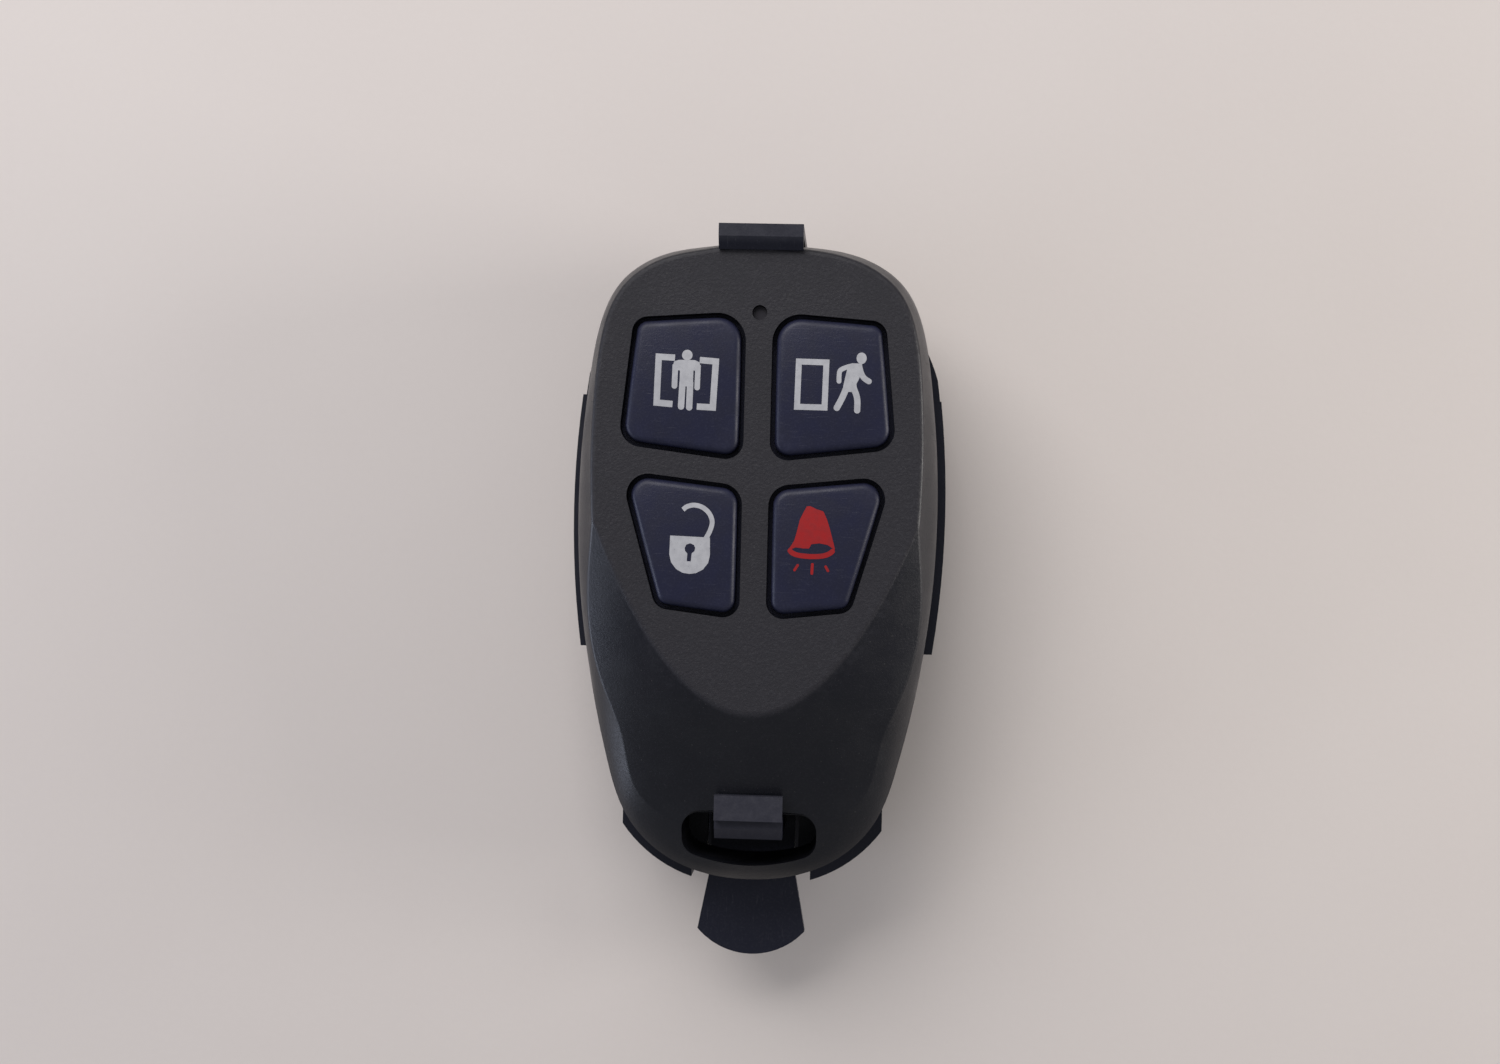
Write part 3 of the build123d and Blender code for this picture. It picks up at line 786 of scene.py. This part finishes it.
# Signs are drawn in millimetres from a point near the middle of each key. A line has its
# width with it, and a stroke the ends that are round.
signs = {
    "stay": dict(
        spot=(-6.45, 15.5),
        frames=[
            ([(-0.85, 2.3), (-2.28, 2.36), (-2.37, -1.66), (-0.97, -1.76)], 0.56),
            ([(1.32, 2.14), (2.73, 2.04), (2.56, -1.98), (1.16, -1.93)], 0.56),
        ],
        ovals=[((0.22, 2.55), 0.92, 0.92)],
        patches=[
            ([(-1.06, 1.5), (-0.9, 1.98), (-0.5, 2.12), (0.9, 2.12), (1.28, 1.95), (1.44, 1.5)],
             [(-0.96, 1.35), (-0.6, 1.2), (-0.3, 1.2), (0.7, 1.2), (1.0, 1.2), (1.3, 1.35)]),
            ([(-0.38, 1.9), (-0.4, -0.2)], [(0.8, 1.9), (0.78, -0.2)]),
        ],
        strokes=[
            ([(-0.8, 1.7), (-0.84, -0.42)], 0.5, "far"),
            ([(1.19, 1.7), (1.15, -0.52)], 0.48, "far"),
            ([(-0.13, 0.2), (-0.23, -2.24)], 0.56, "far"),
            ([(0.54, 0.2), (0.49, -2.3)], 0.56, "far"),
        ],
    ),
    "away": dict(
        spot=(6.38, 15.62),
        frames=[([(-2.85, 2.07), (-0.45, 2.03), (-0.52, -1.9), (-2.92, -1.88), (-2.85, 2.07)], 0.52)],
        ovals=[((2.6, 2.46), 0.88, 1.0)],
        patches=[
            ([(1.75, 2.0), (1.4, 1.6), (1.22, 0.8), (1.08, 0.1), (0.98, -0.5)],
             [(2.66, 2.0), (2.62, 1.2), (2.4, 0.62), (2.2, 0.2), (2.3, -0.5)]),
        ],
        strokes=[
            ([(1.95, 1.82), (1.3, 1.64), (0.78, 1.36), (0.68, 0.9), (0.69, 0.2)], 0.42, "far"),
            ([(2.4, 1.8), (2.62, 1.1), (2.92, 0.68), (3.5, 0.34)], 0.5, "far"),
            ([(1.32, -0.2), (0.98, -1.05), (0.42, -2.15)], 0.56, "far"),
            ([(2.0, -0.2), (2.3, -1.1), (2.32, -2.36)], 0.54, "far"),
        ],
    ),
    "disarm": dict(
        spot=(-5.62, 1.54),
        lock=dict(
            body=[(-1.72, 0.72), (1.76, 0.62), (1.8, -0.9), (1.66, -1.6), (1.2, -2.2), (0.6, -2.52),
                  (0.05, -2.6), (-0.55, -2.52), (-1.14, -2.2), (-1.6, -1.6), (-1.76, -0.9)],
            hole=[(-0.18, -0.82), (-0.22, -1.5), (0.14, -1.5), (0.2, -0.8), (0.44, -0.6),
                  (0.5, -0.32), (0.38, -0.06), (0.05, 0.08), (-0.28, -0.04), (-0.42, -0.32),
                  (-0.38, -0.6)],
            centre=(0.02, -0.55),
        ),
        shackle=([(-0.66, 3.0), (-0.3, 3.28), (0.3, 3.42), (1.0, 3.26), (1.62, 2.76), (1.92, 2.02),
                  (1.76, 1.24), (1.42, 0.56)], 0.42),
    ),
    "panic": dict(
        spot=(5.12, 1.74),
        size=0.96,
        bell=dict(
            top=[(-2.15, -0.42), (-1.68, 0.35), (-1.42, 1.35), (-1.22, 2.25), (-0.92, 2.9),
                 (-0.62, 3.48), (-0.32, 3.52), (0.3, 3.24), (0.9, 3.06), (1.26, 2.3),
                 (1.55, 1.4), (1.8, 0.5), (2.02, -0.3)],
            low=[(-2.1, -0.5), (-1.55, -0.26), (-0.9, -0.34), (-0.32, -0.34), (-0.12, 0.06),
                 (0.6, 0.16), (1.35, 0.02), (1.72, -0.22), (2.0, -0.42)],
        ),
        lip=([(-2.2, -0.4), (-1.82, -0.78), (-1.2, -0.98), (-0.1, -1.06), (0.95, -0.98),
              (1.6, -0.72), (1.94, -0.36)], 0.46),
        strokes=[
            ([(-1.25, -1.78), (-1.66, -2.42)], 0.24, "both"),
            ([(0.02, -1.64), (-0.02, -2.72)], 0.26, "both"),
            ([(1.16, -1.84), (1.5, -2.42)], 0.24, "both"),
        ],
    ),
}


def signGrids(sign, look):
    # All sheets of a sign, each as its grid and whether its rows close into rings
    grids = [(frameStroke(path, width), False) for path, width in sign.get("frames", [])]
    grids += [(patch(first, second), False) for first, second in sign.get("patches", [])]
    for path, width, rounded in sign.get("strokes", []):
        grids.append((stroke(curve(path, *look["limbSteps"]), width, rounded), False))
    for centre, width, height in sign.get("ovals", []):
        grids.append((star(oval(centre, width, height), centre), True))
    if "lock" in sign:
        lock = sign["lock"]
        path, width = sign["shackle"]
        grids.append((star(lock["body"], lock["centre"], lock["hole"]), True))
        grids.append((stroke(curve(path, *look["shackleSteps"]), width), False))
    if "bell" in sign:
        bell = sign["bell"]
        path, width = sign["lip"]
        grids.append((patch(bell["top"], bell["low"], *look["bellSteps"]), False))
        grids.append((stroke(curve(path, *look["lipSteps"]), width, "both"), False))
    spot, size = np.array(sign["spot"]), sign.get("size", 1.0)
    return [(spot + size * grid, around) for grid, around in grids]


inks = {
    "white": inkMaterial("whiteInk", inkLook["white"], inkLook["whiteWorn"], inkLook),
    "red": inkMaterial("redInk", inkLook["red"], inkLook["redWorn"], inkLook),
}
for name in keyNames:
    crest = keyPlaces[name][2]
    points, faces, start = [], [], 0
    for order, (grid, around) in enumerate(signGrids(signs[name], inkLook)):
        sheet, parts = inkSheet(grid, around, order, crest, inkLook)
        points.append(sheet)
        faces += [part + start for part in parts]
        start += len(sheet)
    ink = inks["red" if name == "panic" else "white"]
    sign = addPiece(f"{name}Sign", np.vstack(points), faces, ink, inkLook["crease"])
    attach(sign, f"{name}_key")
print("signs printed")


# Table, light and camera

tableLook = dict(
    size=900.0,                                      # mm
    steps=90,                                        # points along a side
    below=0.02,                                      # mm under the clip leaf
    base=tint(210, 202, 198),
    pale=tint(220, 213, 209),
    speck=tint(170, 160, 154),
    clouds=dict(scale=0.012, detail=4),
    grain=1.4,
    speckShare=0.06,
    roughness=0.62,
    cloudRough=0.1,
    depth=0.01,
)


def tableSheet(look):
    # Flat square grid of points at one height
    line = np.linspace(-look["size"] / 2, look["size"] / 2, look["steps"])
    x, y = np.meshgrid(line, line)
    points = np.column_stack([x.ravel(), y.ravel(), np.full(x.size, -look["below"])])
    shop = Shop("tableTop")
    clouds = shop.noise(**look["clouds"])
    grain = shop.noise(look["grain"])
    colour = shop.layers(
        look["base"],
        (clouds, look["pale"]),
        (grain * look["speckShare"], look["speck"]),
    )
    roughness = look["roughness"] + look["cloudRough"] * clouds
    material = shop.finish(colour, roughness, shop.bump(grain, look["depth"]))
    faces = gridFaces(len(line), len(line), around=False)
    return addPiece("tableTop", points, [faces], material)


tableSheet(tableLook)

# Places, aims and sizes of the lamps in mm, power in watts
lampLook = dict(
    overhead=dict(
        place=(-150, 330, 330), aim=(0, 0, 10), width=420, height=320,
        power=2.0, colour=(1.0, 0.975, 0.965),
    ),
    leftWindow=dict(
        place=(-400, -80, 75), aim=(0, -6, 14), width=260, height=130,
        power=0.65, colour=(0.74, 0.81, 1.0),
    ),
    rightFill=dict(
        place=(340, 20, 100), aim=(0, 0, 12), width=140, height=160,
        power=0.72, colour=(1.0, 0.96, 0.92),
    ),
)
for name, look in lampLook.items():
    lamp = bpy.data.lights.new(name, "AREA")
    lamp.shape = "RECTANGLE"
    lamp.size = look["width"] * mm
    lamp.size_y = look["height"] * mm
    lamp.energy = look["power"]
    lamp.color = look["colour"]
    holder = bpy.data.objects.new(name, lamp)
    holder.location = Vector(look["place"]) * mm
    toward = (Vector(look["aim"]) - Vector(look["place"])).normalized()
    holder.rotation_euler = toward.to_track_quat("-Z", "Y").to_euler()
    bpy.context.scene.collection.objects.link(holder)

roomLook = dict(colour=(0.86, 0.87, 0.9, 1.0), strength=0.28)
room = bpy.data.worlds.new("softRoom")
room.use_nodes = True
glow = room.node_tree.nodes["Background"].inputs
glow["Color"].default_value = roomLook["colour"]
glow["Strength"].default_value = roomLook["strength"]
bpy.context.scene.world = room
bpy.context.scene.view_settings.view_transform = "Standard"

cameraLook = dict(
    picture=(1500, 1064),                            # pixels
    middle=(756.4, 562.5),                           # where the fob's middle comes in the picture
    focal=2000.0,                                    # pixels
    distance=180.0,                                  # mm
    level=14.2,                                      # height of the fob's outline, mm
    tilt=2.8,                                        # degrees over to +X
    roll=1.4,                                        # degrees
    sensor=36.0,                                     # mm
    clip=(0.01, 10.0),                               # metres
)


def photoCamera(look):
    # Looks almost straight down; the fob's middle falls on its place in the picture
    wide, high = look["picture"]
    camera = bpy.data.cameras.new("photoCamera")
    camera.sensor_fit = "HORIZONTAL"
    camera.sensor_width = look["sensor"]
    camera.lens = look["focal"] * look["sensor"] / wide
    camera.clip_start, camera.clip_end = look["clip"]
    tilt = Matrix.Rotation(np.radians(look["tilt"]), 4, "Y")
    roll = Matrix.Rotation(np.radians(look["roll"]), 4, "Z")
    turn = tilt @ roll
    pixel = look["distance"] / look["focal"]         # mm at the fob's outline
    across = (look["middle"][0] - wide / 2) * pixel
    up = (high / 2 - look["middle"][1]) * pixel
    seen = turn @ Vector((across, up, -look["distance"]))
    place = Vector((0, middleY, look["level"])) - seen
    holder = bpy.data.objects.new("photoCamera", camera)
    holder.matrix_world = Matrix.Translation(place * mm) @ turn
    bpy.context.scene.collection.objects.link(holder)
    bpy.context.scene.camera = holder


photoCamera(cameraLook)
print("table, lamps and camera placed")
